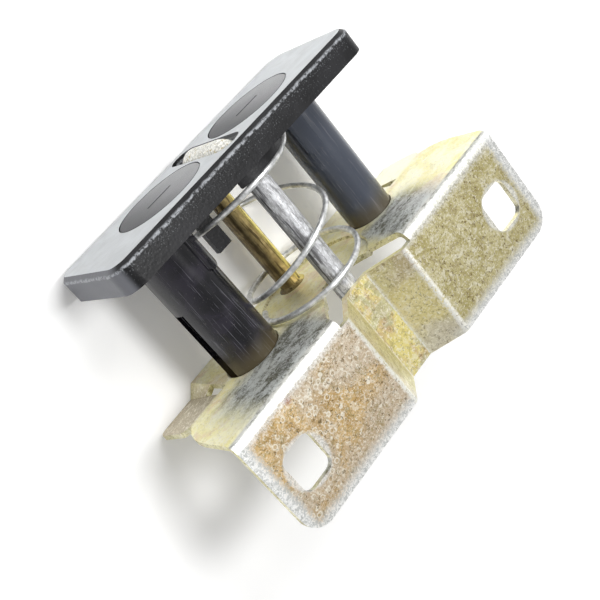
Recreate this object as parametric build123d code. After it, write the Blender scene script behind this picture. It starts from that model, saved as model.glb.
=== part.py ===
from build123d import *
from math import cos, radians, sin, sqrt, tan
import os

# Tailgate striker with a sprung cover plate, in millimetres, +Z up.
# X runs along the plate, Y across it (the two bolt ears are at -Y).
# It is drawn with Z = 0 at the top face of the web and X = Y = 0 on the
# spring axis, and saved with the origin midway between the two bolt holes,
# on the ears' outer face.

# Bracket sheet
sheet_t = 2.0
bracket_half_x = 71.0
bend_outer_r = 3.6
ear_face_y = -31.4
ear_bottom_z = -41.4
ear_inner_x = 15.6
ear_corner_r = 8.0
ear_fold_r = 3.0
floor_fold_r = 1.2
fold_growth = 0.41
web_far_y = 25.0
bolt_hole_x = 57.0
bolt_hole_z = -22.8
bolt_hole_w = 13.2
bolt_hole_h = 15.0
bolt_hole_r = 3.2

# Pressed channel between the ears
channel_half_floor = 5.3
channel_top_z = -4.0

# Wing ends past the relief slots, pressed down about a crease
crease_y = 0.7
wing_angle = 9.0
relief_x0 = 48.0
relief_x1 = 52.0
relief_y0 = -1.0
relief_y1 = 11.0
wing_end_x = 68.4
end_inset = 5.5

# Opening over the channel: plan points from the mouth round to the mouth
opening_half_x = 19.6
opening_corners = ((19.6, -27.4), (10.9, -14.2), (5.9, -8.0), (-4.2, -8.0), (-9.2, -14.6), (-19.6, -27.8))
opening_corner_r = 2.4
opening_depth = 8.0

# Striker loop
rod_d = 8.0
loop_leg_y = 14.5
loop_top_z = 59.0
loop_bend_r = 7.0
near_leg_foot_z = -27.0
bead_r = 1.7
bead_top_z = -9.0

# Round dish that seats the spring, with the far leg through its floor
dish_top_r = 22.4
dish_depth = 1.0
dish_draw = 0.5
dish_wall_t = 0.6
dish_rim_r = 0.5
dish_under_rim_r = 0.7
leg_hole_gap = 0.15
far_leg_foot_z = -6.0
collar_reach = 1.3

# Guide posts
post_x = 34.2
post_r_left = 10.35
post_r_right = 8.65
post_wall = 2.6
post_roof_t = 4.0
post_hole_gap = 0.4
post_foot_z = -9.0
groove_w = 5.4
groove_depth = 2.5
groove_top_z = 27.0
barb_reach = 1.5
barb_gap = 0.35
barb_w = 9.0
tongue_w = 6.0
tongue_foot_z = 31.5
tongue_proud = 0.9

# Cover plate
plate_half_x = 58.1
plate_half_y = 23.2
plate_top_z = 57.5
plate_skirt = 9.1
plate_top_t = 3.2
plate_wall = 2.4
plate_corner_r = 6.5
plate_bevel = 1.5
slot_half_x = 5.0
slot_half_y = 19.3
cap_x = 22.4
cap_r = 16.1
cap_gap = 0.2
cap_t = 1.3
cap_edge = 0.35
cap_mark_l = 11.0
cap_mark_w = 0.9
cap_mark_depth = 0.6
seat_drop = 3.3
seat_lip = 0.1
seat_bore_gap = 0.6
window_rise = 3.0
seat_windows = ((210, 36), (318, 30), (56, 42), (128, 30))
peg_foot_z = 29.8
peg_l = 5.8
peg_near_y = 2.4
peg_t = 2.6
peg_gap = 0.67
rib_t = 1.6
rib_insets = (11.6, 6.1)
rib_rise = 3.4
join = 0.5

# Return spring
wire_d = 2.1
coil_gap = 0.15
coil_side_gap = 0.35
coil_arcs = 17
tail_sweep = 17.0
tail_out = 3.3
tail_up = 3.6

# Derived values
rod_r = rod_d / 2
wire_r = wire_d / 2
ear_back_y = ear_face_y + sheet_t
loop_outer_y = loop_leg_y + rod_r
channel_floor_in = -loop_outer_y
channel_floor_out = channel_floor_in - sheet_t
dish_floor_r = dish_top_r - dish_draw
dish_floor_z = -dish_depth
dish_under_z = dish_floor_z - sheet_t
skirt_bottom_z = plate_top_z - plate_skirt
plate_under_z = plate_top_z - plate_top_t
seat_z = skirt_bottom_z - seat_drop
bend_inner_r = bend_outer_r - sheet_t
web_near_y = ear_face_y + bend_outer_r
coil_r = dish_floor_r - coil_side_gap - wire_r
reach = 2 * bracket_half_x

os.makedirs("parts", exist_ok=True)


def prism(points, z0, z1):
    """Solid with straight sides over a plan outline."""
    wire = Polyline(*points, close=True)
    return Pos(0, 0, z0) * extrude(make_face(wire), z1 - z0)


def block(x0, x1, y0, y1, z0, z1):
    """Box given by its two corners."""
    box = Box(x1 - x0, y1 - y0, z1 - z0)
    return Pos((x0 + x1) / 2, (y0 + y1) / 2, (z0 + z1) / 2) * box


def post(x, y, r, z0, z1):
    """Upright round bar."""
    return Pos(x, y, (z0 + z1) / 2) * Cylinder(r, z1 - z0)


def upright_edges(shape, r_test):
    """Vertical edges whose plan position passes the test."""
    found = shape.edges().filter_by(Axis.Z)
    return [e for e in found if r_test(e.center().X, e.center().Y)]


def rounded_block(x0, x1, y0, y1, z0, z1, r):
    """Box with rounded upright corners."""
    box = block(x0, x1, y0, y1, z0, z1)
    return fillet(box.edges().filter_by(Axis.Z), r)


def one_solid(shape):
    """The single solid a node must be."""
    solids = shape.solids()
    assert len(solids) == 1, [(s.volume, s.bounding_box()) for s in solids]
    return solids[0]


def save(shape, name):
    solid = Pos(0, -ear_face_y, -bolt_hole_z) * one_solid(shape)
    solid.label = name
    export_step(solid, "parts/" + name + ".step")
    box = solid.bounding_box()
    low = tuple(round(v, 1) for v in box.min)
    high = tuple(round(v, 1) for v in box.max)
    print(name, round(solid.volume / 1000, 2), "cm3", low, high)


# Bracket: ears and channel as one upright strip
front = [
    (-bracket_half_x, ear_face_y),
    (-ear_inner_x, ear_face_y),
    (-channel_half_floor, channel_floor_out),
    (channel_half_floor, channel_floor_out),
    (ear_inner_x, ear_face_y),
    (bracket_half_x, ear_face_y),
]
turn = sheet_t * fold_growth
back = [
    (bracket_half_x, ear_back_y),
    (ear_inner_x + turn, ear_back_y),
    (channel_half_floor + turn, channel_floor_in),
    (-channel_half_floor - turn, channel_floor_in),
    (-ear_inner_x - turn, ear_back_y),
    (-bracket_half_x, ear_back_y),
]
strip = prism(front + back, ear_bottom_z, -bend_outer_r)
ear_folds = upright_edges(strip, lambda x, y: abs(abs(x) - ear_inner_x) < 0.01)
strip = fillet(ear_folds, ear_fold_r)
floor_folds = upright_edges(strip, lambda x, y: abs(abs(x) - channel_half_floor) < 0.01)
strip = fillet(floor_folds, floor_fold_r)

# Ear corners and square bolt holes
for side in (-1, 1):
    x0 = side * bracket_half_x
    corner = block(
        min(x0, x0 - side * ear_corner_r),
        max(x0, x0 - side * ear_corner_r),
        ear_face_y - 1,
        ear_back_y + 1,
        ear_bottom_z,
        ear_bottom_z + ear_corner_r,
    )
    keep = Pos(x0 - side * ear_corner_r, ear_face_y + 1, ear_bottom_z + ear_corner_r)
    keep = keep * Rot(90, 0, 0) * Cylinder(ear_corner_r, 4 * sheet_t)
    strip -= corner - keep
    hole = Box(bolt_hole_w, 4 * sheet_t, bolt_hole_h)
    hole = fillet(hole.edges().filter_by(Axis.Y), bolt_hole_r)
    strip -= Pos(side * bolt_hole_x, ear_face_y + 1, bolt_hole_z) * hole

# Near bend along the ears
bend = Cylinder(bend_outer_r, 2 * bracket_half_x) - Cylinder(bend_inner_r, 2 * bracket_half_x + 2)
bend = Pos(0, web_near_y, -bend_outer_r) * Rot(0, 90, 0) * bend
bend = bend & block(-reach, reach, ear_face_y - 1, web_near_y, -bend_outer_r, 1)

# Web: flat middle with the end corners drawn in to the relief notches
end_x = bracket_half_x
end_curve = [
    (end_x, crease_y - 2.5 * end_inset),
    (end_x - 0.11 * end_inset, crease_y - 1.67 * end_inset),
    (end_x - 0.4 * end_inset, crease_y - 0.85 * end_inset),
    (end_x - end_inset, crease_y),
]
half_web = [(end_x, web_near_y)] + end_curve + [(relief_x0, crease_y), (relief_x0, web_far_y)]
web_outline = half_web + [(-x, y) for x, y in reversed(half_web)]
web = prism(web_outline, -sheet_t, 0)

# Wings: tilted down past the crease and tied to the middle behind the slots
slope = tan(radians(wing_angle))


def drop(y):
    """Height of the wing's top face."""
    return -slope * max(0.0, y - crease_y)


wings = []
wing_blank = bracket_half_x - relief_x0
for side in (-1, 1):
    side_profile = Polyline(
        (crease_y - 0.3, 0),
        (crease_y, 0),
        (web_far_y, drop(web_far_y)),
        (web_far_y, drop(web_far_y) - sheet_t),
        (crease_y, -sheet_t),
        (crease_y - 0.3, -sheet_t),
        close=True,
    )
    face = make_face(Plane.YZ * side_profile)
    wing = extrude(face, wing_blank, dir=(1, 0, 0))
    wing = Pos(relief_x1 if side > 0 else -relief_x1 - wing_blank, 0, 0) * wing
    end_cut = [
        (side * (end_x - end_inset), crease_y - 1),
        (side * (end_x - end_inset), crease_y),
        (side * (wing_end_x - 0.6), crease_y + 2.6),
        (side * wing_end_x, crease_y + 5.0),
        (side * wing_end_x, web_far_y - 3.0),
        (side * (wing_end_x - 1.0), web_far_y - 0.8),
        (side * (wing_end_x - 3.0), web_far_y + 0.1),
        (side * (wing_end_x - 3.0), web_far_y + 1),
        (side * reach, web_far_y + 1),
        (side * reach, crease_y - 1),
    ]
    wing -= prism(end_cut, drop(web_far_y) - 2 * sheet_t, sheet_t)
    flat_end = Plane.YZ * Polyline(
        (relief_y1, 0),
        (web_far_y, 0),
        (web_far_y, -sheet_t),
        (relief_y1, -sheet_t),
        close=True,
    )
    tilt_end = Plane.YZ * Polyline(
        (relief_y1, drop(relief_y1)),
        (web_far_y, drop(web_far_y)),
        (web_far_y, drop(web_far_y) - sheet_t),
        (relief_y1, drop(relief_y1) - sheet_t),
        close=True,
    )
    tie = loft(
        [
            Pos(side * relief_x0, 0, 0) * make_face(flat_end),
            Pos(side * relief_x1, 0, 0) * make_face(tilt_end),
        ],
        ruled=True,
    )
    wings += [wing, tie]

# Opening across the near bend, over the channel
mouth_y = ear_face_y - sheet_t
opening = [(-opening_half_x, mouth_y), (opening_half_x, mouth_y), *opening_corners]
mouth = prism(opening, channel_top_z - opening_depth, sheet_t)
inner_corners = upright_edges(mouth, lambda x, y: y > ear_face_y)
mouth = fillet(inner_corners, opening_corner_r)

# Spring dish, drawn down from the web, then the opening cut through both
dish = Pos(0, 0, (dish_under_z - sheet_t) / 2) * Cone(
    dish_floor_r + dish_wall_t,
    dish_top_r + dish_wall_t,
    -sheet_t - dish_under_z,
)
dish = fillet(dish.faces().sort_by(Axis.Z)[0].edges(), dish_under_rim_r)
web += dish
bowl = Pos(0, 0, dish_floor_z / 2) * Cone(dish_floor_r, dish_top_r, dish_depth)
web -= bowl
rim = [
    e
    for e in web.edges().filter_by(GeomType.CIRCLE)
    if abs(e.center().Z) < 0.01 and abs(e.radius - dish_top_r) < 0.01
]
web = fillet(rim, dish_rim_r)
web -= mouth
web -= post(0, loop_leg_y, rod_r + leg_hole_gap, dish_under_z - 1, dish_floor_z + 1)

# The same opening takes the top off the ears and bend beside the channel
ears = strip + bend
ears -= mouth & block(-reach, reach, ear_face_y - reach, 0, channel_top_z, reach)

bracket = ears + web
for piece in wings:
    bracket += piece
for side in (-1, 1):
    xa = min(side * relief_x0, side * relief_x1)
    bracket += block(xa, xa + relief_x1 - relief_x0, crease_y - 2, relief_y0, -sheet_t, 0)

# Guide holes
for side, r in ((-1, post_r_left), (1, post_r_right)):
    bracket -= post(side * post_x, 0, r + post_hole_gap, -sheet_t - 1, 1)
save(bracket, "bracket")

# Striker loop: one bent rod, feet square
path = Polyline(
    (0, -loop_leg_y, near_leg_foot_z),
    (0, -loop_leg_y, loop_top_z - rod_r),
    (0, loop_leg_y, loop_top_z - rod_r),
    (0, loop_leg_y, far_leg_foot_z),
)
path = fillet(path.vertices().sort_by(Axis.Z)[2:4], loop_bend_r)
section = Plane(origin=(0, -loop_leg_y, near_leg_foot_z), z_dir=(0, 0, 1)) * Circle(rod_r)
loop = sweep(section, path=path)


def weld(y_leg, y_wall, z0, z1):
    """Bead down both flanks of a leg and across below it."""
    toward = 1 if y_wall > y_leg else -1
    y_mid = y_wall - toward * bead_r * 0.65
    flank_x = rod_r - 0.12 * bead_r
    bead = Pos(0, y_mid, z0) * Rot(0, 90, 0) * Cylinder(bead_r, 2 * flank_x)
    for side in (-1, 1):
        bead += post(side * flank_x, y_mid, bead_r, z0, z1)
        bead += Pos(side * flank_x, y_mid, z1) * Sphere(bead_r)
    return bead


# Near leg to the back of the channel floor
near_weld = weld(-loop_leg_y, channel_floor_in, near_leg_foot_z + 0.6 * bead_r, bead_top_z)
near_weld -= block(-reach, reach, channel_floor_in - reach, channel_floor_in, -reach, reach)
loop += near_weld

# Far leg to the dish floor, above and below
upper = Pos(0, loop_leg_y, dish_floor_z + collar_reach / 2)
loop += upper * Cone(rod_r + collar_reach, rod_r - 0.2, collar_reach)
lower = Pos(0, loop_leg_y, dish_under_z - collar_reach / 2)
loop += lower * Cone(rod_r - 0.2, rod_r + collar_reach, collar_reach)
save(loop, "striker_loop")

# Cover plate: skirted moulding
plate = rounded_block(
    -plate_half_x,
    plate_half_x,
    -plate_half_y,
    plate_half_y,
    skirt_bottom_z,
    plate_top_z,
    plate_corner_r,
)
plate = chamfer(plate.faces().sort_by(Axis.Z)[-1].edges(), plate_bevel)
cavity = rounded_block(
    -plate_half_x + plate_wall,
    plate_half_x - plate_wall,
    -plate_half_y + plate_wall,
    plate_half_y - plate_wall,
    skirt_bottom_z - 1,
    plate_under_z,
    plate_corner_r - plate_wall,
)
plate -= cavity

# Seat ring for the spring, broken by windows
ring_out = coil_r + wire_r + seat_lip
ring_in = loop_outer_y + seat_bore_gap
ring = post(0, 0, ring_out, seat_z, plate_under_z) - post(0, 0, ring_in, seat_z - 1, plate_under_z)
ring_top = skirt_bottom_z + window_rise
for start, sweep_deg in seat_windows:
    fan = [(0, 0)]
    for i in range(3):
        a = radians(start + sweep_deg * i / 2)
        fan.append((2 * ring_out * cos(a), 2 * ring_out * sin(a)))
    ring -= prism(fan, seat_z - 1, ring_top)
plate += ring

# Locating peg beside the left post
peg_far_y = peg_near_y + peg_t
peg_x = -sqrt((coil_r - wire_r - peg_gap) ** 2 - peg_far_y**2)
plate += block(peg_x, peg_x + peg_l, peg_near_y, peg_far_y, peg_foot_z, plate_under_z + join)

# Slot for the loop, with softened mouth
slot = rounded_block(
    -slot_half_x,
    slot_half_x,
    -slot_half_y,
    slot_half_y,
    plate_under_z - join,
    plate_top_z + 1,
    slot_half_x - 0.01,
)
plate -= slot
for side in (-1, 1):
    plate -= post(side * cap_x, 0, cap_r + cap_gap, plate_top_z - cap_t, plate_top_z + 1)

# Stiffening ribs under the ends
for side in (-1, 1):
    for inset in rib_insets:
        x = side * (plate_half_x - inset)
        end_y = plate_half_y - plate_wall / 2
        sides = (x - rib_t / 2, x + rib_t / 2, -end_y, end_y)
        plate += block(*sides, skirt_bottom_z + rib_rise, plate_under_z + join)
for side, r in ((-1, post_r_left), (1, post_r_right)):
    plate -= post(side * post_x, 0, r, skirt_bottom_z - 1, plate_under_z)
save(plate, "cover_plate")


def guide_post(side, r, tongue_deg, name):
    """Hollow guide post with snap barbs, an outer groove and a locking tongue."""
    x = side * post_x
    body = post(x, 0, r, post_foot_z, plate_under_z)
    body -= post(x, 0, r - post_wall, post_foot_z - 1, plate_under_z - post_roof_t)
    barb_top = -sheet_t - barb_gap
    barb = Pos(x, 0, (barb_top + post_foot_z) / 2) * Cone(r - 0.4, r + barb_reach, barb_top - post_foot_z)
    barb -= post(x, 0, r - post_wall, post_foot_z - 1, barb_top + 1)
    barb = barb & block(x - reach, x + reach, -barb_w / 2, barb_w / 2, post_foot_z - 1, barb_top)
    side_barb = Pos(x, 0, 0) * Rot(0, 0, 90) * Pos(-x, 0, 0) * barb
    body += side_barb
    groove_floor = side * (post_x + r - groove_depth)
    outside = side * (post_x + 2 * r)
    groove = (min(groove_floor, outside), max(groove_floor, outside))
    body -= block(*groove, -groove_w / 2, groove_w / 2, post_foot_z - 1, groove_top_z)
    shell_out = post(x, 0, r + tongue_proud, tongue_foot_z, plate_under_z)
    shell_out -= post(x, 0, r - 0.5, tongue_foot_z - 1, plate_under_z + 1)
    bar = Box(2 * r, tongue_w, plate_under_z - tongue_foot_z)
    bar = fillet(bar.edges().filter_by(Axis.X).sort_by(Axis.Z)[:2], 0.3 * tongue_w)
    bar = Pos(r, 0, (plate_under_z + tongue_foot_z) / 2) * bar
    bar = Pos(x, 0, 0) * Rot(0, 0, tongue_deg) * bar
    body += shell_out & bar
    save(body, name)


guide_post(-1, post_r_left, 309, "guide_post_left")
guide_post(1, post_r_right, 231, "guide_post_right")

# Flush caps in the cover plate
for side, name in ((-1, "cap_left"), (1, "cap_right")):
    cap = post(side * cap_x, 0, cap_r, plate_top_z - cap_t, plate_top_z)
    cap = chamfer(cap.faces().sort_by(Axis.Z)[-1].edges(), cap_edge)
    mark = Box(cap_mark_l, cap_mark_w, 2 * cap_mark_depth)
    mark = fillet(mark.edges().filter_by(Axis.Z), 0.49 * cap_mark_w)
    cap -= Pos(side * cap_x, 0, plate_top_z) * mark
    save(cap, name)

# Return spring: turn angle against the share of the spring's height
coil_low = dish_floor_z + wire_r
coil_high = seat_z - wire_r - coil_gap
rise = [
    (138, 0.0),
    (196, 0.028),
    (296, 0.056),
    (361, 0.108),
    (470, 0.170),
    (516, 0.209),
    (564, 0.282),
    (641, 0.425),
    (689, 0.492),
    (745, 0.610),
    (840, 0.793),
    (930, 0.954),
    (992, 1.0),
    (1036, 1.0),
]


def slope_at(i):
    """Tangent at a table row, limited so that the wire never dips."""
    if i == 0 or i == len(rise) - 1:
        return 0.0
    left = (rise[i][1] - rise[i - 1][1]) / (rise[i][0] - rise[i - 1][0])
    right = (rise[i + 1][1] - rise[i][1]) / (rise[i + 1][0] - rise[i][0])
    if left * right <= 0:
        return 0.0
    return 2 * left * right / (left + right)


def share(angle):
    """Smooth share of the spring's height at a turn angle."""
    i = 0
    while i < len(rise) - 2 and angle > rise[i + 1][0]:
        i += 1
    a0, z0 = rise[i]
    a1, z1 = rise[i + 1]
    h = a1 - a0
    t = (angle - a0) / h
    m0 = slope_at(i) * h
    m1 = slope_at(i + 1) * h
    t2 = t * t
    t3 = t2 * t
    return (2 * t3 - 3 * t2 + 1) * z0 + (t3 - 2 * t2 + t) * m0 + (3 * t2 - 2 * t3) * z1 + (t3 - t2) * m1


def coil_point(angle, r=coil_r, z=None):
    """Point on the wire's centre line."""
    a = radians(angle)
    if z is None:
        z = coil_low + share(angle) * (coil_high - coil_low)
    return Vector(r * cos(a), r * sin(a), z)


arcs = []
first = rise[0][0]
last = rise[-1][0]
for i in range(coil_arcs):
    a0 = first + (last - first) * i / coil_arcs
    a1 = first + (last - first) * (i + 1) / coil_arcs
    arcs.append(ThreePointArc(coil_point(a0), coil_point((a0 + a1) / 2), coil_point(a1)))

# The top end turns out past the seat ring and up under the plate
tail_mid = coil_point(last + tail_sweep * 0.6, coil_r + tail_out * 0.42, coil_high + tail_up * 0.16)
tail_end = coil_point(last + tail_sweep, coil_r + tail_out, coil_high + tail_up)
arcs.append(ThreePointArc(coil_point(last), tail_mid, tail_end))
wire_path = Wire(arcs)
profile = Plane(origin=arcs[0] @ 0, z_dir=arcs[0] % 0) * Circle(wire_r)
spring = sweep(profile, path=wire_path, transition=Transition.TRANSFORMED)
save(spring, "return_spring")
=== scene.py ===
import math

import bpy
from mathutils import Matrix, Vector

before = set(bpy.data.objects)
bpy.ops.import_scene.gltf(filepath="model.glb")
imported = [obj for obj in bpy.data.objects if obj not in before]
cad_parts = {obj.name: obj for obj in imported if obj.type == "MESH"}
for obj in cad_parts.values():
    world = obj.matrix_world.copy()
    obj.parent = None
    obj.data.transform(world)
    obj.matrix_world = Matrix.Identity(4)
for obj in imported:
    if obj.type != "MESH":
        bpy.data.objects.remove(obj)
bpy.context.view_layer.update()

# Camera, as solved from the plate, posts, rod and bends in the photograph
CAMERA_PLACE = (-0.153791, -0.266204, 0.148289)
CAMERA_RIGHT = (0.580814, -0.541310, -0.607979)
CAMERA_UP = (0.703606, -0.041775, 0.709362)
CAMERA_BACK = (-0.409383, -0.839785, 0.356605)
CAMERA_LENS = 63.835
SENSOR_WIDTH = 36.0
CLIP_START = 0.01


def node_box(name):
    """Low and high corner of one CAD node in its own axes, in millimetres."""
    places = [vertex.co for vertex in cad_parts[name].data.vertices]
    return [[1000 * pick(place[i] for place in places) for i in range(3)] for pick in (min, max)]


# Places taken from the solids, in millimetres
bracket_low, bracket_high = node_box("bracket")
plate_high = node_box("cover_plate")[1]
cap_low, cap_high = node_box("cap_right")
EAR_SIDE = bracket_high[0]
WEB_BACK = bracket_high[1]
WEB_TOP = bracket_high[2]
EAR_LOW = bracket_low[2]
PLATE_TOP = plate_high[2]
CAP_R = (cap_high[0] - cap_low[0]) / 2
CAP_X = (cap_high[0] + cap_low[0]) / 2
AXIS_Y = (cap_high[1] + cap_low[1]) / 2

# Other sizes of the solids, in millimetres, up to the middle of each soft change
SKIRT_DEPTH = 9.1
LEG_OFFSET = 14.5
ROD_R = 4.0
HOLE_X = 57.0
EAR_FACE_DEPTH = 3.35
CHANNEL_FLOOR_HALF = 5.7
CHANNEL_MOUTH_HALF = 16.1
FLOOR_FOLD_X = 5.6
MOUTH_FOLD_X = 15.8
BEND_LOW = WEB_TOP - 2.3

# Places of colour and wear on the bracket, in millimetres
WING_START = 48.0
FAR_SIDE = 32.0
PALE_START = 32.5
RUB_EDGE_Y = 30.0
RUB_INNER_X = 17.5
RUB_LEFT_END = -58.5
RUB_RIGHT_END = 43.0
RUST_SPOT = (-48.6, 0.0, 18.1)
RUST_R = 1.3

# Limits between which a noise passes from one colour to the other, where no others are given
SOFT = (0.35, 0.65)

# Colours of the sheet, in pairs where a noise runs between two
OLIVE = ((0.58, 0.54, 0.28), (0.76, 0.72, 0.42))
STRAW = (0.80, 0.76, 0.54)
OCHRE = ((0.50, 0.32, 0.12), (0.66, 0.45, 0.19))
OCHRE_GREY = (0.58, 0.46, 0.32)
TAN = ((0.47, 0.41, 0.17), (0.59, 0.53, 0.28))
CHANNEL_FLOOR = ((0.82, 0.72, 0.28), (0.60, 0.42, 0.24))
CHANNEL_GREEN = (0.56, 0.57, 0.36)
LEFT_FLANK = ((0.60, 0.55, 0.22), (0.70, 0.67, 0.46))
RIGHT_FLANK = ((0.50, 0.36, 0.24), (0.70, 0.62, 0.32))
FLANK_YELLOW = (0.84, 0.70, 0.24)
FLANK_GREY = (0.58, 0.53, 0.50)
WING_BROWN = ((0.36, 0.30, 0.19), (0.50, 0.43, 0.29))
WEB_YELLOW_LIT = ((0.92, 0.85, 0.40), (1.0, 0.97, 0.68))
WEB_ROSE = (0.84, 0.66, 0.44)
WEB_PALE_LIT = (1.0, 0.98, 0.74)
BLOOM = (0.92, 0.89, 0.78)
STAIN = (0.32, 0.25, 0.10)
RING = (0.94, 0.91, 0.80)
FLECK = (0.98, 0.95, 0.82)
PIT = (0.16, 0.11, 0.04)
RUBBED = ((0.03, 0.034, 0.038), (0.54, 0.57, 0.58))
BEND = ((0.20, 0.20, 0.18), (0.56, 0.56, 0.52))
EDGE_WEAR_AND_HIGHLIGHT = ((0.58, 0.59, 0.57), (1.0, 1.0, 0.98))
FOLD_WEAR_AND_HIGHLIGHT = (0.95, 0.94, 0.86)
RUST = (0.34, 0.13, 0.08)

# Colours of the rod and the spring
ROD_GREY = ((0.38, 0.38, 0.39), (0.78, 0.79, 0.81))
ROD_BLOTCH = (0.62, 0.63, 0.64)
ROD_PIT = (0.09, 0.09, 0.09)
ROD_LINE = (0.12, 0.12, 0.12)
ROD_SHADE = (0.14, 0.14, 0.15)
ROD_GOLD = ((0.42, 0.31, 0.13), (0.72, 0.56, 0.24))
GOLD_SHADE = (0.05, 0.035, 0.02)
GOLD_PAINTED_HIGHLIGHT = (1.0, 0.84, 0.26)
GOLD_LINE = (0.08, 0.055, 0.025)
BAR_GREY = ((0.44, 0.43, 0.39), (0.86, 0.85, 0.80))
BAR_SPECK = (0.42, 0.34, 0.14)
WELD = (0.10, 0.09, 0.08)
SPRING_GREY = ((0.54, 0.55, 0.55), (0.86, 0.87, 0.87))

# Colours of the mouldings
PLATE_BLACK = ((0.006, 0.006, 0.007), (0.013, 0.013, 0.015))
PLATE_TOP_REFLECTION = (0.105, 0.110, 0.117)
PLATE_END_LIGHT = (0.17, 0.175, 0.195)
PLATE_DUST = (0.18, 0.19, 0.20)
PLATE_RIM_HIGHLIGHT_AND_WEAR = (0.48, 0.50, 0.53)
SHEEN_TINT = (0.92, 0.97, 1.0, 1.0)
CAP_SHADE_TO_LIGHT = ((0.03, 0.031, 0.034), (0.10, 0.103, 0.11))
CAP_CLOUD = (0.06, 0.061, 0.066)
CAP_MARK = (0.02, 0.02, 0.02)
POST_BLACK = ((0.006, 0.006, 0.008), (0.016, 0.014, 0.022))
POST_RIGHT_LIGHT = (0.052, 0.060, 0.080)
POST_SCRATCH_HIGHLIGHT = (0.16, 0.16, 0.18)
POST_FOOT_REFLECTION = (0.085, 0.065, 0.030)
POST_SPECK = (0.12, 0.11, 0.10)


class Nodes:
    """Builds one material's node tree, with places in millimetres."""

    def __init__(self, name):
        self.mat = bpy.data.materials.new(name)
        self.mat.use_nodes = True
        self.tree = self.mat.node_tree
        self.tree.nodes.clear()
        out = self.tree.nodes.new("ShaderNodeOutputMaterial")
        self.shader = self.tree.nodes.new("ShaderNodeBsdfPrincipled")
        self.tree.links.new(self.shader.outputs[0], out.inputs["Surface"])
        coord = self.tree.nodes.new("ShaderNodeTexCoord")
        self.mm = self.vec("SCALE", coord.outputs["Object"], scale=1000.0)
        part = self.tree.nodes.new("ShaderNodeSeparateXYZ")
        self.tree.links.new(self.mm, part.inputs[0])
        self.x, self.y, self.z = part.outputs
        self.abs_x = self.math("ABSOLUTE", self.x)
        turn = self.tree.nodes.new("ShaderNodeSeparateXYZ")
        self.tree.links.new(coord.outputs["Normal"], turn.inputs[0])
        self.nx, self.ny, self.nz = turn.outputs

    def put(self, socket, value):
        """Link a socket to another one, or give it a number, vector or colour."""
        if isinstance(value, bpy.types.NodeSocket):
            self.tree.links.new(value, socket)
        elif isinstance(value, tuple) and len(value) == 3 and len(socket.default_value) == 4:
            socket.default_value = (*value, 1.0)
        else:
            socket.default_value = value

    def vec(self, kind, a, b=None, scale=None):
        n = self.tree.nodes.new("ShaderNodeVectorMath")
        n.operation = kind
        self.put(n.inputs[0], a)
        if b is not None:
            self.put(n.inputs[1], b)
        if scale is not None:
            n.inputs["Scale"].default_value = scale
        return n.outputs["Value"] if kind == "LENGTH" else n.outputs[0]

    def math(self, kind, a, b=0.0):
        n = self.tree.nodes.new("ShaderNodeMath")
        n.operation = kind
        self.put(n.inputs[0], a)
        self.put(n.inputs[1], b)
        return n.outputs[0]

    def plus(self, a, b):
        return self.math("ADD", a, b)

    def times(self, a, b):
        return self.math("MULTIPLY", a, b)

    def gap(self, a, b):
        """How far apart two values are."""
        return self.math("ABSOLUTE", self.math("SUBTRACT", a, b))

    def span(self, value, low, high, to_low=0.0, to_high=1.0):
        """Smooth step of a value between two limits."""
        n = self.tree.nodes.new("ShaderNodeMapRange")
        n.interpolation_type = "SMOOTHSTEP"
        self.put(n.inputs["Value"], value)
        n.inputs["From Min"].default_value = low
        n.inputs["From Max"].default_value = high
        n.inputs["To Min"].default_value = to_low
        n.inputs["To Max"].default_value = to_high
        return n.outputs[0]

    def above(self, value, edge, soft):
        """One where a value is over an edge, with a soft change."""
        return self.span(value, edge - soft, edge + soft)

    def below(self, value, edge, soft):
        """One where a value is under an edge, with a soft change."""
        return self.span(value, edge + soft, edge - soft)

    def near(self, point, radius, soft):
        """One inside a ball about a point."""
        return self.below(self.vec("LENGTH", self.vec("SUBTRACT", self.mm, point)), radius, soft)

    def both(self, *masks):
        """Product of masks and shares."""
        out = masks[0]
        for mask in masks[1:]:
            out = self.times(out, mask)
        return out

    def noise(self, size, detail=3.0, rough=0.55, bend=0.0, stretch=(1, 1, 1), shift=0.0):
        """Noise whose features are about size millimetres across."""
        n = self.tree.nodes.new("ShaderNodeTexNoise")
        at = self.vec("MULTIPLY", self.mm, tuple(s / size for s in stretch))
        at = self.vec("ADD", at, (shift, shift * 0.7, shift * 1.3))
        self.put(n.inputs["Vector"], at)
        n.inputs["Scale"].default_value = 1.0
        n.inputs["Detail"].default_value = detail
        n.inputs["Roughness"].default_value = rough
        n.inputs["Distortion"].default_value = bend
        return n.outputs[0]

    def cells(self, size, kind="F1", shift=0.0):
        """Distance to the middles of cells about size millimetres apart."""
        n = self.tree.nodes.new("ShaderNodeTexVoronoi")
        n.feature = kind
        at = self.vec("MULTIPLY", self.mm, (1 / size, 1 / size, 1 / size))
        at = self.vec("ADD", at, (shift, shift, shift))
        self.put(n.inputs["Vector"], at)
        n.inputs["Scale"].default_value = 1.0
        return n.outputs["Distance"]

    def mix(self, share, a, b):
        n = self.tree.nodes.new("ShaderNodeMix")
        n.data_type = "RGBA"
        self.put(n.inputs["Factor"], share)
        ports = [s for s in n.inputs if s.type == "RGBA"]
        self.put(ports[0], a)
        self.put(ports[1], b)
        return [s for s in n.outputs if s.type == "RGBA"][0]

    def blend(self, value, pair, limits=SOFT):
        """First colour of a pair below the limits of a value, second above."""
        return self.mix(self.span(value, *limits), *pair)

    def over(self, base, colour, *masks):
        """A colour laid over a base where all the masks are one."""
        return self.mix(self.both(*masks), base, colour)

    def bump(self, height, depth_mm):
        n = self.tree.nodes.new("ShaderNodeBump")
        n.inputs["Strength"].default_value = 1.0
        n.inputs["Distance"].default_value = depth_mm / 1000.0
        self.put(n.inputs["Height"], height)
        return n.outputs[0]

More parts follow.
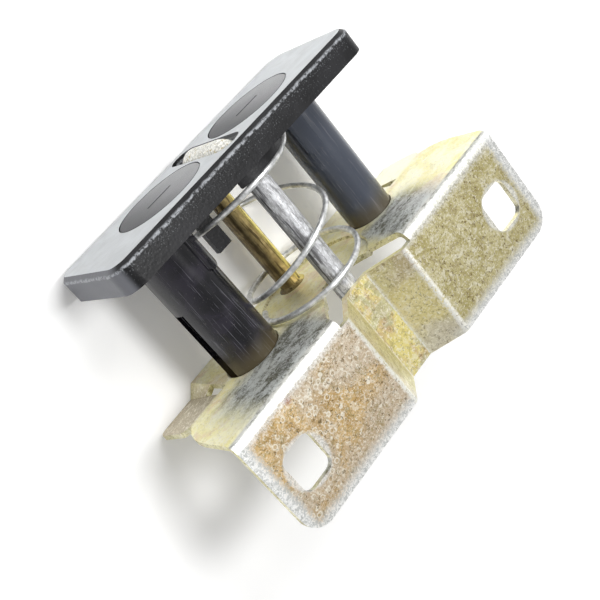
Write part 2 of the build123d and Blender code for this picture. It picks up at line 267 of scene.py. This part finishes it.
    def finish(self, color, rough, metal, normal, **others):
        """Fill in the shader, its other inputs by name, and give the material."""
        inputs = self.shader.inputs
        self.put(inputs["Base Color"], color)
        self.put(inputs["Roughness"], rough)
        self.put(inputs["Metallic"], metal)
        self.put(inputs["Normal"], normal)
        for name, value in others.items():
            self.put(inputs[name.replace("_", " ")], value)
        return self.mat


def channel_colour(n, coarse):
    """Floor pink to yellow, left flank yellow green, right flank brown."""
    streak = n.noise(5.5, detail=4.0, rough=0.6, bend=0.5, stretch=(1, 1, 0.3), shift=8.0)
    floor = n.blend(streak, CHANNEL_FLOOR, (0.40, 0.60))
    floor = n.over(floor, CHANNEL_GREEN, n.span(coarse, 0.48, 0.62), 0.7)
    left_flank = n.blend(streak, LEFT_FLANK)
    right_flank = n.blend(coarse, RIGHT_FLANK, (0.38, 0.60))
    height = n.plus(n.z, n.times(coarse, 10.0))
    right_flank = n.over(right_flank, FLANK_YELLOW, n.span(height, 16.0, 10.0), n.span(height, -6.0, -1.0))
    right_flank = n.over(right_flank, FLANK_GREY, n.span(height, -2.0, -8.0), 0.8)
    flank = n.mix(n.above(n.x, 0.0, 1.0), left_flank, right_flank)
    return n.mix(n.above(n.abs_x, CHANNEL_FLOOR_HALF, 0.5), floor, flank)


def passivated_sheet():
    """Yellow passivated zinc sheet, blotched, rubbed and scuffed."""
    n = Nodes("passivated_sheet")
    grain = n.noise(0.75, detail=4.0, rough=0.65)
    coarse = n.noise(9.0, rough=0.6, bend=0.4)
    broad = n.noise(26.0, detail=2.0, rough=0.5, bend=0.3, shift=3.1)
    rosy = n.noise(15.0, rough=0.6, bend=0.6, shift=11.5)
    mottle = n.noise(3.2, detail=4.0, rough=0.7, bend=0.8, shift=17.0)
    scuff = n.noise(1.1, detail=4.0, rough=0.7, bend=1.2, shift=5.0)

    # Faces and regions
    front = n.below(n.ny, -0.70, 0.15)
    top = n.above(n.nz, 0.75, 0.15)
    left = n.below(n.x, 0.0, 6.0)
    ear = n.both(front, n.below(n.y, EAR_FACE_DEPTH, 1.15))
    in_channel = n.both(n.below(n.abs_x, CHANNEL_MOUTH_HALF, 0.9), n.below(n.z, BEND_LOW, 1.5))
    far_side = n.above(n.y, FAR_SIDE, 2.0)
    left_wing = n.both(n.above(n.abs_x, WING_START, 4.0), far_side, left)
    web = n.both(top, n.math("SUBTRACT", 1.0, left_wing))

    # Colours of the passivation
    base = n.over(n.mix(coarse, *OLIVE), STRAW, n.span(broad, 0.42, 0.62))
    ochre = n.over(n.blend(coarse, OCHRE), OCHRE_GREY, n.span(broad, 0.46, 0.60))
    base = n.mix(ear, base, n.mix(left, n.blend(coarse, TAN), ochre))
    base = n.over(base, channel_colour(n, coarse), in_channel, front)
    base = n.over(base, n.mix(coarse, *WING_BROWN), top, left_wing)
    # The web's top faces are painted lighter than the ears: their own yellow with painted light, palest
    # towards the far right.
    web_colour = n.over(n.blend(coarse, WEB_YELLOW_LIT), WEB_ROSE, n.span(rosy, 0.50, 0.62), 0.7)
    base = n.over(base, web_colour, web, 0.9)
    base = n.over(base, WEB_PALE_LIT, top, far_side, n.above(n.x, PALE_START, 12.5))

    # Mottling of a few millimetres, weaker on the web and in the channel
    calm = n.both(n.span(top, 0.0, 1.0, 1.0, 0.25), n.span(in_channel, 0.0, 1.0, 1.0, 0.6))
    base = n.over(base, BLOOM, n.span(mottle, 0.52, 0.64), 0.45)
    base = n.over(base, STAIN, n.span(mottle, 0.48, 0.36), calm, 0.6)

    # Ring-shaped corrosion marks in loose groups, most on the left ear
    ringed = n.both(ear, n.span(n.x, 12.0, -12.0, 0.3, 1.0))
    group = n.span(n.noise(6.5, rough=0.6, bend=0.8, shift=25.0), 0.47, 0.56)
    ring = n.below(n.gap(n.cells(2.3, shift=2.0), 0.36), 0.08, 0.04)
    base = n.over(base, RING, ring, group, ringed, 0.65)
    fine_ring = n.below(n.gap(n.cells(1.1, shift=7.0), 0.38), 0.095, 0.045)
    base = n.over(base, RING, fine_ring, ringed, 0.25)

    # Fine pale flecks and dark pits
    base = n.over(base, FLECK, n.span(grain, 0.53, 0.63), 0.55)
    pits = n.span(n.noise(1.0, detail=4.0, rough=0.7, bend=0.6, shift=21.0), 0.54, 0.66)
    base = n.over(base, PIT, pits, calm, 0.9)

    # Rubbed grey bands beside the posts
    rub_across = n.both(n.above(n.x, RUB_LEFT_END, 8.5), n.below(n.x, RUB_RIGHT_END, 7.0))
    rub_deep = n.below(n.plus(n.y, n.times(coarse, 12.0)), RUB_EDGE_Y, 4.0)
    rub = n.both(top, rub_deep, n.above(n.abs_x, RUB_INNER_X, 4.5), rub_across)
    smear = n.noise(4.5, detail=4.0, rough=0.65, bend=0.8, stretch=(0.5, 1, 1), shift=14.2)
    smear = n.plus(n.times(scuff, 0.5), n.times(smear, 0.5))
    base = n.over(base, n.blend(smear, RUBBED, (0.40, 0.56)), rub, 0.9)

    # Bend between web and ears, grey with wear and with a painted dark reflection, and the rust spot under
    # it
    bend = n.both(n.above(n.nz, 0.35, 0.15), n.below(n.nz, 0.895, 0.075), n.below(n.y, 5.0, 1.0))
    drag = n.noise(0.9, detail=4.0, rough=0.75, bend=0.6, stretch=(0.25, 1, 1), shift=6.1)
    base = n.over(base, n.blend(drag, BEND, (0.36, 0.56)), bend)
    rust = n.both(ear, n.near(RUST_SPOT, RUST_R, 0.9), n.span(mottle, 0.35, 0.55, 0.3, 0.9))
    base = n.over(base, RUST, rust)

    # Bright wear on the ears' edges and round the bolt holes; along the bend above the ears and along the
    # channel's folds the pale strips are painted highlights with wear
    wear_and_highlight = n.blend(scuff, EDGE_WEAR_AND_HIGHLIGHT, (0.40, 0.60))
    ragged_z = n.plus(n.z, n.times(scuff, 5.0))
    base = n.over(base, wear_and_highlight, ear, n.below(ragged_z, EAR_LOW + 5.5, 2.5))
    ragged_x = n.plus(n.abs_x, n.times(scuff, -6.0))
    base = n.over(base, wear_and_highlight, ear, n.above(ragged_x, EAR_SIDE - 6.75, 1.75))
    beside_channel = n.above(n.abs_x, CHANNEL_MOUTH_HALF + 0.9, 1.0)
    # Painted highlight along the bend at the top of the ears, with wear speckle.
    base = n.over(base, wear_and_highlight, ear, beside_channel, n.above(ragged_z, BEND_LOW, 1.5), 0.75)
    # Painted highlight along the channel's fold lines, with wear speckle.
    floor_fold = n.below(n.gap(n.abs_x, FLOOR_FOLD_X), 0.45, 0.25)
    mouth_fold = n.below(n.gap(n.abs_x, MOUTH_FOLD_X), 1.05, 0.55)
    crease = n.both(n.math("MAXIMUM", floor_fold, mouth_fold), n.below(n.z, BEND_LOW - 1.75, 0.75))
    base = n.over(base, FOLD_WEAR_AND_HIGHLIGHT, crease, front, n.span(scuff, 0.36, 0.52))
    from_hole = n.vec("SUBTRACT", n.vec("ABSOLUTE", n.vec("MULTIPLY", n.mm, (1, 0, 1))), (HOLE_X, 0, 0))
    rim = n.below(n.plus(n.vec("LENGTH", from_hole), n.times(scuff, 2.0)), 9.8, 0.6)
    base = n.over(base, wear_and_highlight, ear, rim, 0.7)

    rough = n.plus(n.plus(n.times(grain, 0.25), 0.28), n.times(rub, 0.15))
    height = n.plus(n.times(grain, 0.6), n.times(scuff, 0.4))
    metal = n.span(web, 0.0, 1.0, 0.75, 0.35)
    return n.finish(base, rough, metal, n.bump(height, 0.10))


def striker_steel():
    """Worn zinc on the near leg and bar, brown and gold on the far leg, with painted shade and highlight
    on the legs.
    """
    n = Nodes("striker_steel")
    scratch = n.noise(0.7, detail=5.0, rough=0.7, bend=0.8, stretch=(1, 1, 0.35))
    blotch = n.noise(2.4, detail=4.0, rough=0.65, bend=0.5, shift=4.0)
    fibre = n.noise(0.8, rough=0.6, bend=0.2, stretch=(1, 1, 0.08), shift=6.0)

    # Near leg, greyer on the side away from the lamps
    grey = n.over(n.blend(scratch, ROD_GREY), ROD_BLOTCH, n.span(blotch, 0.55, 0.72))
    pits = n.span(n.noise(0.8, rough=0.7, bend=0.5, shift=12.0), 0.63, 0.70)
    grey = n.over(grey, ROD_PIT, pits, 0.8)
    grey = n.over(grey, ROD_LINE, n.span(fibre, 0.44, 0.38), 0.6)
    grey = n.over(grey, ROD_SHADE, n.below(n.nx, -0.6, 0.3), n.span(fibre, 0.56, 0.42))

    # Far leg, brown on the left with painted shade, gold on the right with a painted highlight streak
    gold = n.blend(n.noise(3.0, rough=0.6, shift=2.0), ROD_GOLD)
    gold = n.over(gold, GOLD_SHADE, n.below(n.nx, -0.4, 0.3), 0.75)
    gold = n.over(gold, GOLD_PAINTED_HIGHLIGHT, n.above(n.nx, 0.3, 0.2), n.span(fibre, 0.36, 0.50))
    gold = n.over(gold, GOLD_LINE, n.span(fibre, 0.47, 0.39), 0.75)
    far = n.both(n.above(n.y, AXIS_Y + 6.5, 2.5), n.below(n.z, PLATE_TOP - 6.0, 3.0))
    base = n.mix(far, grey, gold)

    # Bar, and the weld beads at the near leg's foot
    bar = n.blend(scratch, BAR_GREY, (0.4, 0.6))
    bar = n.over(bar, BAR_SPECK, n.span(n.noise(1.2, detail=2.0, rough=0.5, shift=31.0), 0.60, 0.68), 0.8)
    base = n.over(base, bar, n.above(n.z, PLATE_TOP - 3.0, 1.5))
    from_leg = n.vec("SUBTRACT", n.mm, (0, AXIS_Y - LEG_OFFSET, 0))
    from_leg = n.vec("LENGTH", n.vec("MULTIPLY", from_leg, (1, 1, 0)))
    at_foot = n.both(n.below(n.z, WEB_TOP - 8.5, 0.5), n.below(n.y, 19.5, 0.5))
    base = n.over(base, WELD, n.above(from_leg, ROD_R + 0.175, 0.125), at_foot)

    near_rough = n.plus(n.times(scratch, 0.3), 0.32)
    far_rough = n.plus(n.times(blotch, 0.15), 0.12)
    height = n.plus(n.times(scratch, 0.6), n.times(blotch, 0.6))
    return n.finish(base, n.mix(far, near_rough, far_rough), 0.6, n.bump(height, 0.12))


def spring_steel():
    """Bright drawn wire with faint draw marks."""
    n = Nodes("spring_steel")
    dull = n.noise(2.0, rough=0.6)
    fine = n.noise(0.3, detail=2.0, rough=0.6, shift=3.0)
    rough = n.plus(n.times(fine, 0.2), 0.24)
    return n.finish(n.blend(dull, SPRING_GREY), rough, 0.7, n.bump(fine, 0.02))


def grained_plastic():
    """Black moulding with a fine leather grain, a top painted lighter as a reflection, with sheen, and
    rubbed arrises with a painted highlight.
    """
    n = Nodes("grained_plastic")
    cells = n.cells(0.85, "SMOOTH_F1")
    fine = n.noise(0.5, rough=0.6)
    patch = n.noise(14.0, bend=0.5, shift=6.0)
    base = n.blend(patch, PLATE_BLACK)

    # Painted reflection lighter on the top, where sheen is also laid, and painted light on the left end
    # face
    up = n.above(n.nz, 0.885, 0.085)
    drift = n.noise(7.0, detail=4.0, rough=0.6, bend=0.4, shift=2.7)
    sheen_and_painted_reflection = n.both(up, n.span(drift, 0.25, 0.75, 0.7, 1.0))
    base = n.over(base, PLATE_TOP_REFLECTION, sheen_and_painted_reflection)
    base = n.over(base, PLATE_END_LIGHT, n.below(n.nx, -0.625, 0.175), 0.9)

    # Dust on the sides, more towards the top
    rising = n.span(n.z, PLATE_TOP - SKIRT_DEPTH - 0.5, PLATE_TOP - 1.0)
    dust = n.plus(n.noise(0.55, rough=0.65, shift=9.0), n.times(rising, 0.10))
    base = n.over(base, PLATE_DUST, n.span(dust, 0.64, 0.76), n.below(n.nz, 0.35, 0.15), 0.5)

    # Broken pale line along the top arris, a painted highlight with rub wear
    wander = n.plus(n.noise(2.2, detail=4.0, rough=0.7, shift=2.2), -0.5)
    level = n.plus(n.z, n.times(wander, 1.5))
    rim = n.both(n.above(level, PLATE_TOP - 1.95, 0.25), n.below(level, PLATE_TOP - 1.15, 0.25))
    broken = n.span(n.noise(1.1, detail=4.0, rough=0.7, shift=4.4), 0.36, 0.60)
    base = n.over(base, PLATE_RIM_HIGHLIGHT_AND_WEAR, rim, broken, 0.7)

    rough = n.plus(n.times(patch, 0.16), 0.34)
    height = n.plus(n.times(cells, 0.7), n.times(fine, 0.3))
    return n.finish(
        base,
        rough,
        0.0,
        n.bump(height, 0.07),
        Specular_IOR_Level=0.30,
        Sheen_Weight=sheen_and_painted_reflection,
        Sheen_Roughness=0.35,
        Sheen_Tint=SHEEN_TINT,
        Coat_Weight=n.times(up, 0.8),
        Coat_Roughness=0.30,
    )


def cap_plastic():
    """Smooth dull caps with a few handling scratches."""
    n = Nodes("cap_plastic")
    local_x = n.plus(n.x, n.times(n.math("SIGN", n.x), -CAP_X))
    local_y = n.gap(n.y, AXIS_Y)
    cloud = n.noise(8.0, rough=0.5)
    lines = n.noise(1.6, detail=2.0, rough=0.6, bend=0.6, stretch=(0.16, 1.5, 1), shift=7.0)
    middle = n.both(n.below(n.math("ABSOLUTE", local_x), 7.5, 1.5), n.below(local_y, 4.5, 1.5))
    # Painted light: each cap runs from dark on its -X side to lighter on its +X side, where it has more
    # sheen too.
    across = n.span(local_x, -CAP_R, CAP_R)
    base = n.mix(across, *CAP_SHADE_TO_LIGHT)
    base = n.over(base, CAP_CLOUD, cloud, 0.5)
    base = n.over(base, CAP_MARK, n.span(lines, 0.62, 0.68), middle, 0.7)
    fine = n.noise(0.35, detail=2.0, rough=0.6, shift=3.0)
    rough = n.plus(n.times(cloud, 0.12), 0.42)
    return n.finish(
        base,
        rough,
        0.0,
        n.bump(fine, 0.03),
        Specular_IOR_Level=0.25,
        Sheen_Weight=n.times(across, 0.65),
        Sheen_Roughness=0.35,
    )


def post_plastic():
    """Glossy black posts, greasy and finely scratched along their length, with painted highlight lines, a
    painted reflection at the foot and painted light on the right post.
    """
    n = Nodes("post_plastic")
    line = n.noise(0.5, rough=0.65, bend=0.1, stretch=(1, 1, 0.03))
    grease = n.noise(9.0, bend=0.6, shift=3.0)
    specks = n.span(n.noise(0.6, detail=2.0, rough=0.5, shift=14.0), 0.68, 0.73)
    base = n.blend(grease, POST_BLACK, (0.40, 0.65))
    # Painted light: the right post lighter and bluer than the left.
    base = n.over(base, POST_RIGHT_LIGHT, n.above(n.x, 0.5, 0.5))
    # Pale lines along the posts: scratches with painted highlights.
    base = n.over(base, POST_SCRATCH_HIGHLIGHT, n.span(line, 0.60, 0.68), 0.5)
    # Painted reflection of the yellow sheet, brown at the foot of each post.
    base = n.over(base, POST_FOOT_REFLECTION, n.below(n.z, WEB_TOP + 5.0, 4.0), 0.7)
    base = n.over(base, POST_SPECK, specks, 0.4)
    rough = n.plus(n.times(grease, 0.22), 0.10)
    return n.finish(base, rough, 0.0, n.bump(line, 0.012), Specular_IOR_Level=0.55)


finishes = {
    "bracket": passivated_sheet(),
    "striker_loop": striker_steel(),
    "return_spring": spring_steel(),
    "cover_plate": grained_plastic(),
    "cap_left": cap_plastic(),
    "guide_post_left": post_plastic(),
}
finishes["cap_right"] = finishes["cap_left"]
finishes["guide_post_right"] = finishes["guide_post_left"]
for name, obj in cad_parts.items():
    obj.data.materials.clear()
    obj.data.materials.append(finishes[name])

# Table, in metres: the part lies on its back, on the plate's and the web's far edges
PLATE_ARRIS = 1.5
LEAN = math.atan2(WEB_BACK - plate_high[1], PLATE_TOP - PLATE_ARRIS - WEB_TOP)
TABLE_HALF = 1.6
TABLE_GAP = 0.0002
TABLE_WHITE = (0.92, 0.92, 0.92, 1)

# Glow that keeps the table white to the camera, and the distances it grows between
TABLE_LIFT = 0.12
TABLE_LIFT_FAR = 0.75
LIFT_NEAR = 0.25
LIFT_FAR = 0.95


def table_material():
    """White to the camera save for the object's own soft shadow, clear from behind."""
    mat = bpy.data.materials.new("table")
    mat.use_nodes = True
    tree = mat.node_tree
    tree.nodes.clear()
    out = tree.nodes.new("ShaderNodeOutputMaterial")
    cloth = tree.nodes.new("ShaderNodeBsdfDiffuse")
    cloth.inputs["Color"].default_value = TABLE_WHITE
    glow = tree.nodes.new("ShaderNodeEmission")
    seen = tree.nodes.new("ShaderNodeLightPath")
    shown = tree.nodes.new("ShaderNodeMath")
    shown.operation = "MAXIMUM"
    tree.links.new(seen.outputs["Is Camera Ray"], shown.inputs[0])
    tree.links.new(seen.outputs["Is Glossy Ray"], shown.inputs[1])
    spot = tree.nodes.new("ShaderNodeTexCoord")
    from_part = tree.nodes.new("ShaderNodeVectorMath")
    from_part.operation = "LENGTH"
    tree.links.new(spot.outputs["Object"], from_part.inputs[0])
    lift = tree.nodes.new("ShaderNodeMapRange")
    lift.inputs["From Min"].default_value = LIFT_NEAR
    lift.inputs["From Max"].default_value = LIFT_FAR
    lift.inputs["To Min"].default_value = TABLE_LIFT
    lift.inputs["To Max"].default_value = TABLE_LIFT_FAR
    tree.links.new(from_part.outputs["Value"], lift.inputs["Value"])
    share = tree.nodes.new("ShaderNodeMath")
    share.operation = "MULTIPLY"
    tree.links.new(shown.outputs[0], share.inputs[0])
    tree.links.new(lift.outputs[0], share.inputs[1])
    tree.links.new(share.outputs[0], glow.inputs["Strength"])
    paper = tree.nodes.new("ShaderNodeAddShader")
    tree.links.new(cloth.outputs[0], paper.inputs[0])
    tree.links.new(glow.outputs[0], paper.inputs[1])
    clear = tree.nodes.new("ShaderNodeBsdfTransparent")
    side = tree.nodes.new("ShaderNodeNewGeometry")
    pick = tree.nodes.new("ShaderNodeMixShader")
    tree.links.new(side.outputs["Backfacing"], pick.inputs[0])
    tree.links.new(paper.outputs[0], pick.inputs[1])
    tree.links.new(clear.outputs[0], pick.inputs[2])
    tree.links.new(pick.outputs[0], out.inputs["Surface"])
    return mat


corners = [(x * TABLE_HALF, y * TABLE_HALF, 0) for x, y in ((-1, -1), (1, -1), (1, 1), (-1, 1))]
table_mesh = bpy.data.meshes.new("table")
table_mesh.from_pydata(corners, [], [(0, 1, 2, 3)])
table = bpy.data.objects.new("table", table_mesh)
bpy.context.collection.objects.link(table)
out_of_table = Vector((0, -math.cos(LEAN), -math.sin(LEAN)))
table_turn = out_of_table.to_track_quat("Z", "Y").to_matrix().to_4x4()
table_place = (0, WEB_BACK / 1000 + TABLE_GAP, WEB_TOP / 1000)
table.matrix_world = Matrix.Translation(table_place) @ table_turn
table.data.materials.append(table_material())

# Room light, brighter from the sides than from behind the camera
ROOM_SIDE = 0.72
ROOM_BEHIND = 0.30
FACING_SIDE = 0.15
FACING_BEHIND = 0.95


def light_room():
    """White to the camera and through clear things, softer as a light."""
    world = bpy.data.worlds.new("studio")
    bpy.context.scene.world = world
    world.use_nodes = True
    tree = world.node_tree
    tree.nodes.clear()
    out = tree.nodes.new("ShaderNodeOutputWorld")
    sky = tree.nodes.new("ShaderNodeBackground")
    sky.inputs["Color"].default_value = (1, 1, 1, 1)
    path = tree.nodes.new("ShaderNodeLightPath")
    seen = tree.nodes.new("ShaderNodeMath")
    seen.operation = "MAXIMUM"
    tree.links.new(path.outputs["Is Camera Ray"], seen.inputs[0])
    tree.links.new(path.outputs["Is Transmission Ray"], seen.inputs[1])
    toward = tree.nodes.new("ShaderNodeTexCoord")
    facing = tree.nodes.new("ShaderNodeVectorMath")
    facing.operation = "DOT_PRODUCT"
    facing.inputs[1].default_value = (0, -1, 0)
    tree.links.new(toward.outputs["Generated"], facing.inputs[0])
    level = tree.nodes.new("ShaderNodeMapRange")
    level.inputs["From Min"].default_value = FACING_SIDE
    level.inputs["From Max"].default_value = FACING_BEHIND
    level.inputs["To Min"].default_value = ROOM_SIDE
    level.inputs["To Max"].default_value = ROOM_BEHIND
    tree.links.new(facing.outputs["Value"], level.inputs["Value"])
    choose = tree.nodes.new("ShaderNodeMix")
    choose.inputs["B"].default_value = 1.0
    tree.links.new(seen.outputs[0], choose.inputs["Factor"])
    tree.links.new(level.outputs[0], choose.inputs["A"])
    tree.links.new(choose.outputs["Result"], sky.inputs["Strength"])
    tree.links.new(sky.outputs[0], out.inputs["Surface"])


light_room()

# Lamps in metres and watts, aimed at the middle of the part
LAMP_TARGET = (0.0, 0.03, 0.03)
KEY_PLACE = (0.150, -0.850, 0.110)
KEY_SIZE = 0.30
KEY_POWER = 4.6
UPPER_PLACE = (0.27, -0.645, 0.57)
UPPER_SIZE = 0.45
UPPER_POWER = 4.0


def lamp(name, place, size, power):
    light = bpy.data.lights.new(name, "AREA")
    light.shape = "DISK"
    light.size = size
    light.energy = power
    obj = bpy.data.objects.new(name, light)
    bpy.context.collection.objects.link(obj)
    aim = Vector(LAMP_TARGET) - Vector(place)
    obj.matrix_world = Matrix.Translation(place) @ aim.to_track_quat("-Z", "Y").to_matrix().to_4x4()


lamp("key", KEY_PLACE, KEY_SIZE, KEY_POWER)
lamp("upper", UPPER_PLACE, UPPER_SIZE, UPPER_POWER)

camera_data = bpy.data.cameras.new("camera")
camera_data.lens = CAMERA_LENS
camera_data.sensor_width = SENSOR_WIDTH
camera_data.clip_start = CLIP_START
camera = bpy.data.objects.new("camera", camera_data)
bpy.context.collection.objects.link(camera)
camera_turn = Matrix((CAMERA_RIGHT, CAMERA_UP, CAMERA_BACK)).transposed().to_4x4()
camera.matrix_world = Matrix.Translation(CAMERA_PLACE) @ camera_turn
bpy.context.scene.camera = camera
bpy.context.scene.view_settings.view_transform = "Standard"
